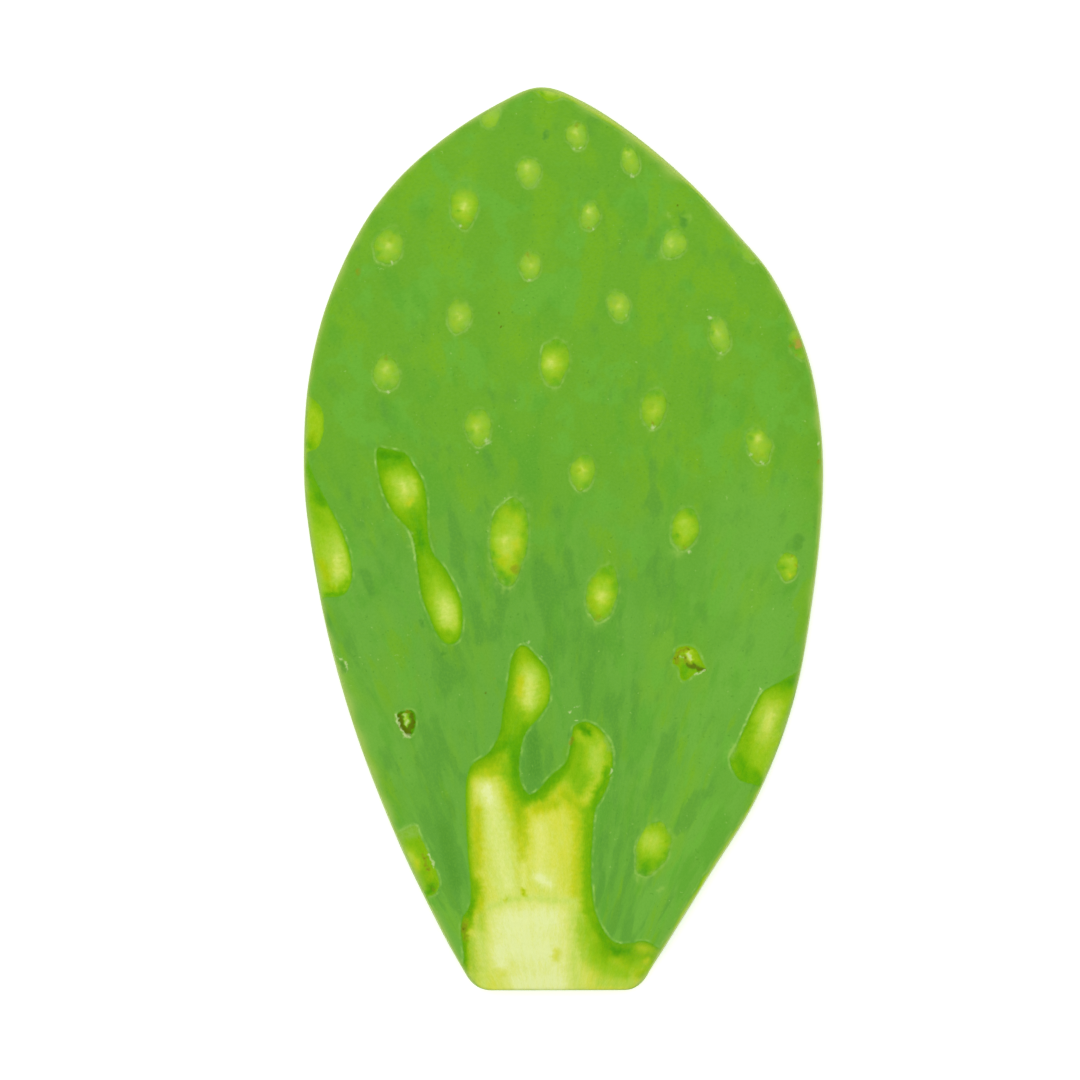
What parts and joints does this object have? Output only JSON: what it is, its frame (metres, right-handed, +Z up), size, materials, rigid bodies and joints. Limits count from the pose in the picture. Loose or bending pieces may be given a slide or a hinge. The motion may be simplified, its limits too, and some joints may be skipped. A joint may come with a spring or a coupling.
{
  "type": "prickly pear cactus pad",
  "caption": "Cleaned prickly pear pad: flat egg-shaped green slab with a blunt tip, shaved areole marks and a pale forked knife cut at its straight-cut base.",
  "frame": {"origin": "middle of the pad's outline box, on the surface the pad lies on", "axes": "+Y along the pad from its cut base to its tip, +Z up out of its top face, +X to the right seen from above"},
  "size_m": [0.1152, 0.1998, 0.0129],
  "materials": {
    "pad_skin": "smooth waxy green skin with paler, moist yellow-green flesh in the knife cuts"
  },
  "bodies": {
    "root": {"pad": "pad_skin"}
  },
  "joints": []
}
